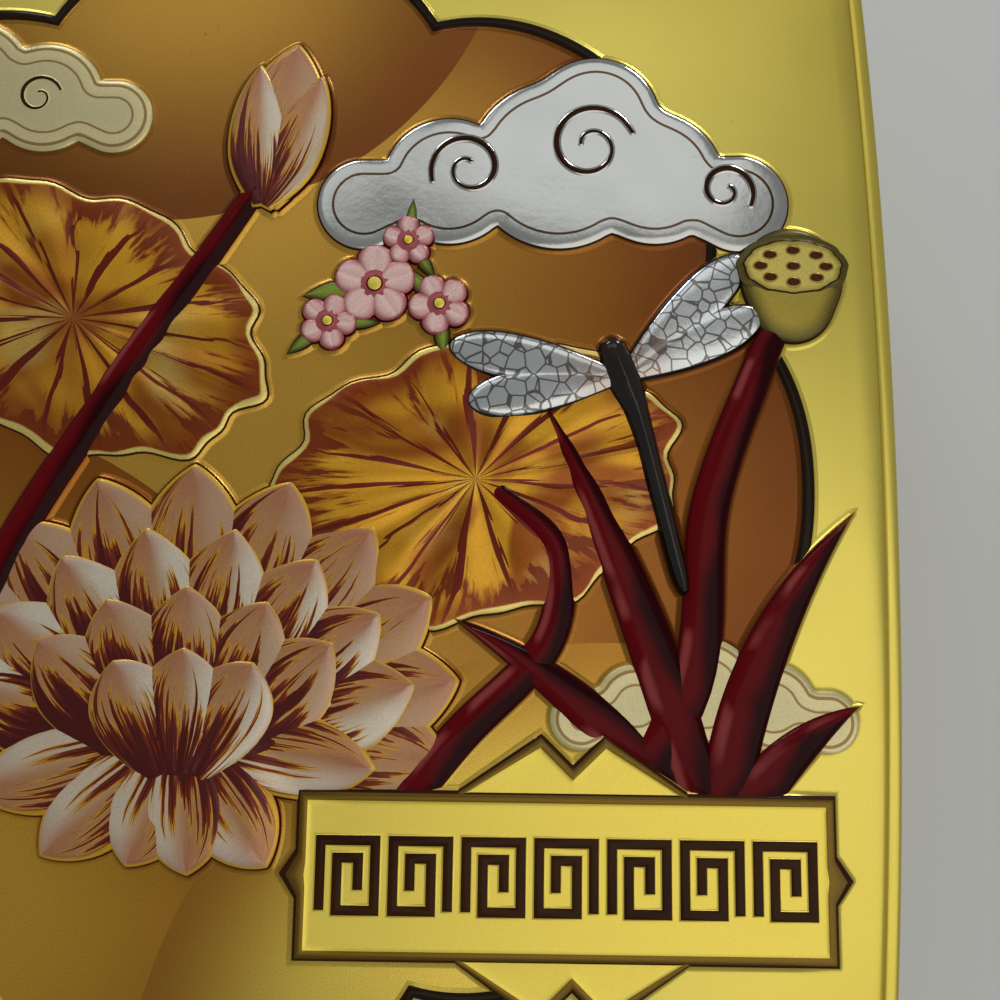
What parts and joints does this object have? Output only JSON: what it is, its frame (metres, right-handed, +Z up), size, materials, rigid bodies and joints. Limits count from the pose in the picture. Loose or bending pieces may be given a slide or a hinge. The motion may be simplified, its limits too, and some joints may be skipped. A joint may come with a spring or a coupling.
{
  "type": "mooncake tin",
  "caption": "Shut square gift tin for mooncakes: slip-over lid with bowed sides, rounded corners and an embossed lotus pond on its top, over a seamed base.",
  "frame": {"origin": "middle of the footprint, on the table", "axes": "+Z up through the lid, +X towards the end of the lid that carries the plaque, -Y towards the edge that the plaque reads from"},
  "size_m": [0.204, 0.204, 0.0576],
  "materials": {
    "lid_lacquer": "satin yellow-gold lacquer over tinplate, printed and embossed",
    "base_lacquer": "satin yellow-gold lacquer over tinplate",
    "tinplate": "plain rolled tinplate"
  },
  "bodies": {
    "root": {"lid": "lid_lacquer", "base": "base_lacquer", "bottom": "tinplate"}
  },
  "joints": []
}
